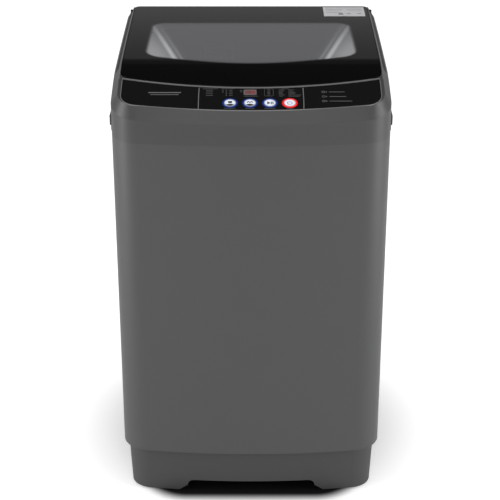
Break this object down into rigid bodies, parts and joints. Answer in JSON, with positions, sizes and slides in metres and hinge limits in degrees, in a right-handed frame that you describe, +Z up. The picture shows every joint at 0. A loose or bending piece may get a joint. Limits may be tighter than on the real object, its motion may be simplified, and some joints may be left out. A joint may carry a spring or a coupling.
{
  "type": "top load washing machine",
  "caption": "Upright washing machine with a bowed steel cabinet, sloping push-button panel, hinged glass lid over a steel drum, side grips and a stepped base on feet.",
  "frame": {"origin": "middle of the machine's overall box, on the floor", "axes": "+Z up, +X to the right of someone facing the front, +Y from the front to the rear"},
  "size_m": [0.5074, 0.522, 0.8515],
  "materials": {
    "painted_steel": "satin grey paint",
    "grey_plastic": "fine satin",
    "base_plastic": "fine satin",
    "black_gloss": "high gloss",
    "dark_glass": "tinted tempered glass",
    "black_plastic": "satin",
    "light_trim": "satin",
    "button_white": "gloss",
    "ring_clear": "translucent",
    "display_lens": "smoked",
    "stainless": "brushed",
    "zinc_steel": "zinc plated",
    "white_plastic": "satin",
    "pale_grey_plastic": "satin",
    "rubber_black": "matt",
    "aluminium_cast": "cast",
    "paper_label": "matt paper",
    "circuit_board": "solder mask"
  },
  "bodies": {
    "cabinet": {"base_frame": "base_plastic", "bottom_guard": "black_plastic", "button_rings": "ring_clear", "cabinet_wrap": "painted_steel", "capacitor": "white_plastic", "control_board": "circuit_board", "control_fascia": "black_gloss", "control_tray": "black_plastic", "cord_gland": "black_plastic", "corner_brackets": "zinc_steel", "display_window": "display_lens", "drain_hose": "rubber_black", "drain_outlet": "black_plastic", "hinge_bushes": "black_plastic", "inlet_spout": "white_plastic", "inlet_valve": "white_plastic", "level_sensor": "white_plastic", "lid_bumpers": "rubber_black", "lid_switch": "white_plastic", "pressure_tube": "rubber_black", "program_trim": "light_trim", "rear_panel": "zinc_steel", "rear_panel_screws": "zinc_steel", "rubber_feet": "rubber_black", "side_handles": "grey_plastic", "suspension_rods": "zinc_steel", "suspension_springs": "zinc_steel", "top_frame": "grey_plastic"},
    "lid": {"lid_glass": "dark_glass", "lid_frame": "black_plastic", "lid_grip": "black_gloss", "hinge_pins": "zinc_steel", "blank_label": "paper_label"},
    "program_button": {"program_button": "button_white"},
    "level_button": {"level_button": "button_white"},
    "start_button": {"start_button": "button_white"},
    "power_button": {"power_button": "button_white"},
    "leveling_foot": {"leveling_foot": "rubber_black"},
    "tub": {"outer_tub": "white_plastic", "tub_cover": "white_plastic", "suspension_plate": "zinc_steel", "clutch_housing": "aluminium_cast", "shaft_bearings": "zinc_steel", "water_seal": "rubber_black", "motor_housing": "zinc_steel", "drive_belt": "rubber_black", "drain_valve": "white_plastic", "traction_actuator": "black_plastic"},
    "drum": {"drum_shell": "stainless", "drum_floor_moulding": "pale_grey_plastic", "balance_ring": "pale_grey_plastic", "spin_tube": "zinc_steel", "lint_filters": "white_plastic"},
    "pulsator": {"pulsator": "pale_grey_plastic", "wash_shaft": "zinc_steel", "pulsator_cap": "stainless"},
    "drive_pulley": {"drive_pulley": "aluminium_cast"},
    "motor_rotor": {"motor_rotor": "zinc_steel"},
    "drain_plunger": {"drain_plunger": "white_plastic"},
    "clutch_lever": {"clutch_lever": "zinc_steel"}
  },
  "joints": [
    {"name": "lid_hinge", "type": "hinge", "parent": "cabinet", "child": "lid", "pos_m": [0, 0.219, 0.84332], "axis": [-1, 0, 0], "range_deg": [0, 85]},
    {"name": "program_button_press", "type": "slide", "parent": "cabinet", "child": "program_button", "axis": [0, 0.3007, -0.9537], "range_m": [0, 0.001], "stiffness_N_per_m": 1500, "springref_m": -0.0006},
    {"name": "level_button_press", "type": "slide", "parent": "cabinet", "child": "level_button", "axis": [0, 0.3007, -0.9537], "range_m": [0, 0.001], "stiffness_N_per_m": 1500, "springref_m": -0.0006},
    {"name": "start_button_press", "type": "slide", "parent": "cabinet", "child": "start_button", "axis": [0, 0.3007, -0.9537], "range_m": [0, 0.001], "stiffness_N_per_m": 1500, "springref_m": -0.0006},
    {"name": "power_button_press", "type": "slide", "parent": "cabinet", "child": "power_button", "axis": [0, 0.3007, -0.9537], "range_m": [0, 0.001], "stiffness_N_per_m": 1500, "springref_m": -0.0006},
    {"name": "foot_screw", "type": "slide", "parent": "cabinet", "child": "leveling_foot", "axis": [0, 0, 1], "range_m": [-0.008, 0]},
    {"name": "tub_bounce", "type": "slide", "parent": "cabinet", "child": "tub", "axis": [0, 0, 1], "range_m": [-0.03, 0.008], "stiffness_N_per_m": 16000, "springref_m": 0.0116, "deforming": ["suspension_springs", "pressure_tube", "drain_hose"]},
    {"name": "drum_spin", "type": "hinge", "parent": "tub", "child": "drum", "pos_m": [0, 0, 0.27], "axis": [0, 0, 1], "continuous": true},
    {"name": "pulsator_spin", "type": "hinge", "parent": "tub", "child": "pulsator", "pos_m": [0, 0, 0.27], "axis": [0, 0, 1], "continuous": true},
    {"name": "pulley_spin", "type": "hinge", "parent": "tub", "child": "drive_pulley", "pos_m": [0, 0, 0.12], "axis": [0, 0, 1], "continuous": true},
    {"name": "motor_spin", "type": "hinge", "parent": "tub", "child": "motor_rotor", "pos_m": [-0.126, 0, 0.12], "axis": [0, 0, 1], "continuous": true},
    {"name": "drain_pull", "type": "slide", "parent": "tub", "child": "drain_plunger", "axis": [-1, 0, 0], "range_m": [0, 0.012], "stiffness_N_per_m": 400, "springref_m": -0.01},
    {"name": "brake_lever", "type": "hinge", "parent": "tub", "child": "clutch_lever", "pos_m": [0.066, 0.062, 0.216], "axis": [0, 0, 1], "range_deg": [0, 12]}
  ],
  "couplings": [
    {"joint": "pulley_spin", "follows": "pulsator_spin", "ratio": 4.5},
    {"joint": "motor_spin", "follows": "pulsator_spin", "ratio": 17.727},
    {"joint": "brake_lever", "follows": "drain_pull", "rad_per_m": 16.667}
  ]
}
